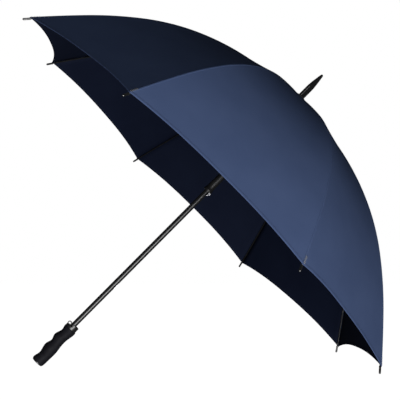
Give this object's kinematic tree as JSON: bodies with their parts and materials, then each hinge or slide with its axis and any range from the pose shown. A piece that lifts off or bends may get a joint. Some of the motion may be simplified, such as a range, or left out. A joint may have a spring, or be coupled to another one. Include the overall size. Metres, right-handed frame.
{
  "type": "golf umbrella",
  "caption": "Large open umbrella with a straight shaft, moulded grip, folding rib frame and a sectored fabric canopy.",
  "frame": {"origin": "centre of the grip's flat end", "axes": "+Z along the shaft towards the ferrule; -X is the grip's finger side; the middles of two panels face +X and -Y"},
  "size_m": [1.1506, 1.1506, 1.0308],
  "materials": {
    "shaft_paint": "gloss",
    "black_gloss": "gloss",
    "black_plastic": "satin",
    "steel": "brushed",
    "grip_rubber": "matte",
    "canopy_fabric": "woven, slight sheen",
    "stretcher_paint": "satin",
    "tip_gloss": "gloss",
    "rib_fibre": "satin"
  },
  "bodies": {
    "frame": {"shaft": "shaft_paint", "ferrule": "black_gloss", "crown": "black_plastic", "crown_wire": "steel", "canopy_washer": "black_plastic", "grip": "grip_rubber", "grip_end_cap": "black_plastic", "grip_collar": "black_plastic"},
    "rib_1": {"rib_1_inner": "rib_fibre"},
    "rib_1_end": {"rib_1_outer": "rib_fibre", "rib_1_tip": "tip_gloss"},
    "stretcher_1": {"stretcher_1": "stretcher_paint"},
    "runner": {"runner": "black_plastic", "runner_wire": "steel"},
    "rib_2": {"rib_2_inner": "rib_fibre"},
    "rib_2_end": {"rib_2_outer": "rib_fibre", "rib_2_tip": "tip_gloss"},
    "stretcher_2": {"stretcher_2": "stretcher_paint"},
    "rib_3": {"rib_3_inner": "rib_fibre"},
    "rib_3_end": {"rib_3_outer": "rib_fibre", "rib_3_tip": "tip_gloss"},
    "stretcher_3": {"stretcher_3": "stretcher_paint"},
    "rib_4": {"rib_4_inner": "rib_fibre"},
    "rib_4_end": {"rib_4_outer": "rib_fibre", "rib_4_tip": "tip_gloss"},
    "stretcher_4": {"stretcher_4": "stretcher_paint"},
    "rib_5": {"rib_5_inner": "rib_fibre"},
    "rib_5_end": {"rib_5_outer": "rib_fibre", "rib_5_tip": "tip_gloss"},
    "stretcher_5": {"stretcher_5": "stretcher_paint"},
    "rib_6": {"rib_6_inner": "rib_fibre"},
    "rib_6_end": {"rib_6_outer": "rib_fibre", "rib_6_tip": "tip_gloss"},
    "stretcher_6": {"stretcher_6": "stretcher_paint"},
    "rib_7": {"rib_7_inner": "rib_fibre"},
    "rib_7_end": {"rib_7_outer": "rib_fibre", "rib_7_tip": "tip_gloss"},
    "stretcher_7": {"stretcher_7": "stretcher_paint"},
    "rib_8": {"rib_8_inner": "rib_fibre"},
    "rib_8_end": {"rib_8_outer": "rib_fibre", "rib_8_tip": "tip_gloss"},
    "stretcher_8": {"stretcher_8": "stretcher_paint"},
    "panel_1_upper": {"panel_1_upper": "canopy_fabric"},
    "panel_1_lower": {"panel_1_lower": "canopy_fabric"},
    "panel_2_upper": {"panel_2_upper": "canopy_fabric"},
    "panel_2_lower": {"panel_2_lower": "canopy_fabric"},
    "panel_3_upper": {"panel_3_upper": "canopy_fabric"},
    "panel_3_lower": {"panel_3_lower": "canopy_fabric"},
    "panel_4_upper": {"panel_4_upper": "canopy_fabric"},
    "panel_4_lower": {"panel_4_lower": "canopy_fabric"},
    "panel_5_upper": {"panel_5_upper": "canopy_fabric"},
    "panel_5_lower": {"panel_5_lower": "canopy_fabric"},
    "panel_6_upper": {"panel_6_upper": "canopy_fabric"},
    "panel_6_lower": {"panel_6_lower": "canopy_fabric"},
    "panel_7_upper": {"panel_7_upper": "canopy_fabric"},
    "panel_7_lower": {"panel_7_lower": "canopy_fabric"},
    "panel_8_upper": {"panel_8_upper": "canopy_fabric"},
    "panel_8_lower": {"panel_8_lower": "canopy_fabric"},
    "upper_catch": {"upper_catch": "steel"},
    "lower_catch": {"lower_catch": "steel"}
  },
  "joints": [
    {"name": "canopy_fold", "type": "hinge", "parent": "frame", "child": "rib_1", "pos_m": [0.01109, 0.00459, 0.942], "axis": [-0.3827, 0.9239, 0], "range_deg": [0, 71], "deforming": ["panel_1_upper", "panel_1_lower", "panel_2_upper", "panel_2_lower", "panel_3_upper", "panel_3_lower", "panel_4_upper", "panel_4_lower", "panel_5_upper", "panel_5_lower", "panel_6_upper", "panel_6_lower", "panel_7_upper", "panel_7_lower", "panel_8_upper", "panel_8_lower", "upper_catch", "lower_catch"]},
    {"name": "rib_1_flex", "type": "hinge", "parent": "rib_1", "child": "rib_1_end", "pos_m": [0.28565, 0.11832, 0.85102], "axis": [-0.3827, 0.9239, 0], "range_deg": [-24.85, 0]},
    {"name": "stretcher_1_swing", "type": "hinge", "parent": "rib_1", "child": "stretcher_1", "pos_m": [0.2833, 0.11735, 0.84615], "axis": [-0.3827, 0.9239, 0], "range_deg": [-142, 0]},
    {"name": "runner_swing", "type": "hinge", "parent": "stretcher_1", "child": "runner", "pos_m": [0.01109, 0.00459, 0.7503], "axis": [-0.3827, 0.9239, 0], "range_deg": [0, 71]},
    {"name": "rib_2_fold", "type": "hinge", "parent": "frame", "child": "rib_2", "pos_m": [0.00459, 0.01109, 0.942], "axis": [-0.9239, 0.3827, 0], "range_deg": [0, 71]},
    {"name": "rib_2_flex", "type": "hinge", "parent": "rib_2", "child": "rib_2_end", "pos_m": [0.11832, 0.28565, 0.85102], "axis": [-0.9239, 0.3827, 0], "range_deg": [-24.85, 0]},
    {"name": "stretcher_2_swing", "type": "hinge", "parent": "rib_2", "child": "stretcher_2", "pos_m": [0.11735, 0.2833, 0.84615], "axis": [-0.9239, 0.3827, 0], "range_deg": [-142, 0]},
    {"name": "rib_3_fold", "type": "hinge", "parent": "frame", "child": "rib_3", "pos_m": [-0.00459, 0.01109, 0.942], "axis": [-0.9239, -0.3827, 0], "range_deg": [0, 71]},
    {"name": "rib_3_flex", "type": "hinge", "parent": "rib_3", "child": "rib_3_end", "pos_m": [-0.11832, 0.28565, 0.85102], "axis": [-0.9239, -0.3827, 0], "range_deg": [-24.85, 0]},
    {"name": "stretcher_3_swing", "type": "hinge", "parent": "rib_3", "child": "stretcher_3", "pos_m": [-0.11735, 0.2833, 0.84615], "axis": [-0.9239, -0.3827, 0], "range_deg": [-142, 0]},
    {"name": "rib_4_fold", "type": "hinge", "parent": "frame", "child": "rib_4", "pos_m": [-0.01109, 0.00459, 0.942], "axis": [-0.3827, -0.9239, 0], "range_deg": [0, 71]},
    {"name": "rib_4_flex", "type": "hinge", "parent": "rib_4", "child": "rib_4_end", "pos_m": [-0.28565, 0.11832, 0.85102], "axis": [-0.3827, -0.9239, 0], "range_deg": [-24.85, 0]},
    {"name": "stretcher_4_swing", "type": "hinge", "parent": "rib_4", "child": "stretcher_4", "pos_m": [-0.2833, 0.11735, 0.84615], "axis": [-0.3827, -0.9239, 0], "range_deg": [-142, 0]},
    {"name": "rib_5_fold", "type": "hinge", "parent": "frame", "child": "rib_5", "pos_m": [-0.01109, -0.00459, 0.942], "axis": [0.3827, -0.9239, 0], "range_deg": [0, 71]},
    {"name": "rib_5_flex", "type": "hinge", "parent": "rib_5", "child": "rib_5_end", "pos_m": [-0.28565, -0.11832, 0.85102], "axis": [0.3827, -0.9239, 0], "range_deg": [-24.85, 0]},
    {"name": "stretcher_5_swing", "type": "hinge", "parent": "rib_5", "child": "stretcher_5", "pos_m": [-0.2833, -0.11735, 0.84615], "axis": [0.3827, -0.9239, 0], "range_deg": [-142, 0]},
    {"name": "rib_6_fold", "type": "hinge", "parent": "frame", "child": "rib_6", "pos_m": [-0.00459, -0.01109, 0.942], "axis": [0.9239, -0.3827, 0], "range_deg": [0, 71]},
    {"name": "rib_6_flex", "type": "hinge", "parent": "rib_6", "child": "rib_6_end", "pos_m": [-0.11832, -0.28565, 0.85102], "axis": [0.9239, -0.3827, 0], "range_deg": [-24.85, 0]},
    {"name": "stretcher_6_swing", "type": "hinge", "parent": "rib_6", "child": "stretcher_6", "pos_m": [-0.11735, -0.2833, 0.84615], "axis": [0.9239, -0.3827, 0], "range_deg": [-142, 0]},
    {"name": "rib_7_fold", "type": "hinge", "parent": "frame", "child": "rib_7", "pos_m": [0.00459, -0.01109, 0.942], "axis": [0.9239, 0.3827, 0], "range_deg": [0, 71]},
    {"name": "rib_7_flex", "type": "hinge", "parent": "rib_7", "child": "rib_7_end", "pos_m": [0.11832, -0.28565, 0.85102], "axis": [0.9239, 0.3827, 0], "range_deg": [-24.85, 0]},
    {"name": "stretcher_7_swing", "type": "hinge", "parent": "rib_7", "child": "stretcher_7", "pos_m": [0.11735, -0.2833, 0.84615], "axis": [0.9239, 0.3827, 0], "range_deg": [-142, 0]},
    {"name": "rib_8_fold", "type": "hinge", "parent": "frame", "child": "rib_8", "pos_m": [0.01109, -0.00459, 0.942], "axis": [0.3827, 0.9239, 0], "range_deg": [0, 71]},
    {"name": "rib_8_flex", "type": "hinge", "parent": "rib_8", "child": "rib_8_end", "pos_m": [0.28565, -0.11832, 0.85102], "axis": [0.3827, 0.9239, 0], "range_deg": [-24.85, 0]},
    {"name": "stretcher_8_swing", "type": "hinge", "parent": "rib_8", "child": "stretcher_8", "pos_m": [0.2833, -0.11735, 0.84615], "axis": [0.3827, 0.9239, 0], "range_deg": [-142, 0]},
    {"name": "panel_1_fold", "type": "hinge", "parent": "frame", "child": "panel_1_upper", "pos_m": [0.00784, 0.00784, 0.942], "axis": [-0.7071, 0.7071, 0], "range_deg": [0, 68.87]},
    {"name": "panel_1_crease", "type": "hinge", "parent": "panel_1_upper", "child": "panel_1_lower", "pos_m": [0.20307, 0.20307, 0.85421], "axis": [-0.7071, 0.7071, 0], "range_deg": [-27.34, 0]},
    {"name": "panel_2_fold", "type": "hinge", "parent": "frame", "child": "panel_2_upper", "pos_m": [0, 0.01109, 0.942], "axis": [-1, 0, 0], "range_deg": [0, 68.87]},
    {"name": "panel_2_crease", "type": "hinge", "parent": "panel_2_upper", "child": "panel_2_lower", "pos_m": [0, 0.28719, 0.85421], "axis": [-1, 0, 0], "range_deg": [-27.34, 0]},
    {"name": "panel_3_fold", "type": "hinge", "parent": "frame", "child": "panel_3_upper", "pos_m": [-0.00784, 0.00784, 0.942], "axis": [-0.7071, -0.7071, 0], "range_deg": [0, 68.87]},
    {"name": "panel_3_crease", "type": "hinge", "parent": "panel_3_upper", "child": "panel_3_lower", "pos_m": [-0.20307, 0.20307, 0.85421], "axis": [-0.7071, -0.7071, 0], "range_deg": [-27.34, 0]},
    {"name": "panel_4_fold", "type": "hinge", "parent": "frame", "child": "panel_4_upper", "pos_m": [-0.01109, 0, 0.942], "axis": [0, -1, 0], "range_deg": [0, 68.87]},
    {"name": "panel_4_crease", "type": "hinge", "parent": "panel_4_upper", "child": "panel_4_lower", "pos_m": [-0.28719, 0, 0.85421], "axis": [0, -1, 0], "range_deg": [-27.34, 0]},
    {"name": "panel_5_fold", "type": "hinge", "parent": "frame", "child": "panel_5_upper", "pos_m": [-0.00784, -0.00784, 0.942], "axis": [0.7071, -0.7071, 0], "range_deg": [0, 68.87]},
    {"name": "panel_5_crease", "type": "hinge", "parent": "panel_5_upper", "child": "panel_5_lower", "pos_m": [-0.20307, -0.20307, 0.85421], "axis": [0.7071, -0.7071, 0], "range_deg": [-27.34, 0]},
    {"name": "panel_6_fold", "type": "hinge", "parent": "frame", "child": "panel_6_upper", "pos_m": [0, -0.01109, 0.942], "axis": [1, 0, 0], "range_deg": [0, 68.87]},
    {"name": "panel_6_crease", "type": "hinge", "parent": "panel_6_upper", "child": "panel_6_lower", "pos_m": [0, -0.28719, 0.85421], "axis": [1, 0, 0], "range_deg": [-27.34, 0]},
    {"name": "panel_7_fold", "type": "hinge", "parent": "frame", "child": "panel_7_upper", "pos_m": [0.00784, -0.00784, 0.942], "axis": [0.7071, 0.7071, 0], "range_deg": [0, 68.87]},
    {"name": "panel_7_crease", "type": "hinge", "parent": "panel_7_upper", "child": "panel_7_lower", "pos_m": [0.20307, -0.20307, 0.85421], "axis": [0.7071, 0.7071, 0], "range_deg": [-27.34, 0]},
    {"name": "panel_8_fold", "type": "hinge", "parent": "frame", "child": "panel_8_upper", "pos_m": [0.01109, 0, 0.942], "axis": [0, 1, 0], "range_deg": [0, 68.87]},
    {"name": "panel_8_crease", "type": "hinge", "parent": "panel_8_upper", "child": "panel_8_lower", "pos_m": [0.28719, 0, 0.85421], "axis": [0, 1, 0], "range_deg": [-27.34, 0]},
    {"name": "upper_catch_press", "type": "hinge", "parent": "frame", "child": "upper_catch", "pos_m": [0.00515, 0, 0.5439], "axis": [0, -1, 0], "range_deg": [0, 5], "stiffness_Nm_per_rad": 4},
    {"name": "lower_catch_press", "type": "hinge", "parent": "frame", "child": "lower_catch", "pos_m": [0.00515, 0, 0.32533], "axis": [0, 1, 0], "range_deg": [0, 5], "stiffness_Nm_per_rad": 4}
  ],
  "couplings": [
    {"joint": "rib_1_flex", "follows": "canopy_fold", "ratio": -0.35},
    {"joint": "stretcher_1_swing", "follows": "canopy_fold", "ratio": -2},
    {"joint": "runner_swing", "follows": "canopy_fold", "ratio": 1},
    {"joint": "rib_2_fold", "follows": "canopy_fold", "ratio": 1},
    {"joint": "rib_2_flex", "follows": "canopy_fold", "ratio": -0.35},
    {"joint": "stretcher_2_swing", "follows": "canopy_fold", "ratio": -2},
    {"joint": "rib_3_fold", "follows": "canopy_fold", "ratio": 1},
    {"joint": "rib_3_flex", "follows": "canopy_fold", "ratio": -0.35},
    {"joint": "stretcher_3_swing", "follows": "canopy_fold", "ratio": -2},
    {"joint": "rib_4_fold", "follows": "canopy_fold", "ratio": 1},
    {"joint": "rib_4_flex", "follows": "canopy_fold", "ratio": -0.35},
    {"joint": "stretcher_4_swing", "follows": "canopy_fold", "ratio": -2},
    {"joint": "rib_5_fold", "follows": "canopy_fold", "ratio": 1},
    {"joint": "rib_5_flex", "follows": "canopy_fold", "ratio": -0.35},
    {"joint": "stretcher_5_swing", "follows": "canopy_fold", "ratio": -2},
    {"joint": "rib_6_fold", "follows": "canopy_fold", "ratio": 1},
    {"joint": "rib_6_flex", "follows": "canopy_fold", "ratio": -0.35},
    {"joint": "stretcher_6_swing", "follows": "canopy_fold", "ratio": -2},
    {"joint": "rib_7_fold", "follows": "canopy_fold", "ratio": 1},
    {"joint": "rib_7_flex", "follows": "canopy_fold", "ratio": -0.35},
    {"joint": "stretcher_7_swing", "follows": "canopy_fold", "ratio": -2},
    {"joint": "rib_8_fold", "follows": "canopy_fold", "ratio": 1},
    {"joint": "rib_8_flex", "follows": "canopy_fold", "ratio": -0.35},
    {"joint": "stretcher_8_swing", "follows": "canopy_fold", "ratio": -2},
    {"joint": "panel_1_fold", "follows": "canopy_fold", "ratio": 0.97},
    {"joint": "panel_1_crease", "follows": "canopy_fold", "ratio": -0.385},
    {"joint": "panel_2_fold", "follows": "canopy_fold", "ratio": 0.97},
    {"joint": "panel_2_crease", "follows": "canopy_fold", "ratio": -0.385},
    {"joint": "panel_3_fold", "follows": "canopy_fold", "ratio": 0.97},
    {"joint": "panel_3_crease", "follows": "canopy_fold", "ratio": -0.385},
    {"joint": "panel_4_fold", "follows": "canopy_fold", "ratio": 0.97},
    {"joint": "panel_4_crease", "follows": "canopy_fold", "ratio": -0.385},
    {"joint": "panel_5_fold", "follows": "canopy_fold", "ratio": 0.97},
    {"joint": "panel_5_crease", "follows": "canopy_fold", "ratio": -0.385},
    {"joint": "panel_6_fold", "follows": "canopy_fold", "ratio": 0.97},
    {"joint": "panel_6_crease", "follows": "canopy_fold", "ratio": -0.385},
    {"joint": "panel_7_fold", "follows": "canopy_fold", "ratio": 0.97},
    {"joint": "panel_7_crease", "follows": "canopy_fold", "ratio": -0.385},
    {"joint": "panel_8_fold", "follows": "canopy_fold", "ratio": 0.97},
    {"joint": "panel_8_crease", "follows": "canopy_fold", "ratio": -0.385}
  ]
}
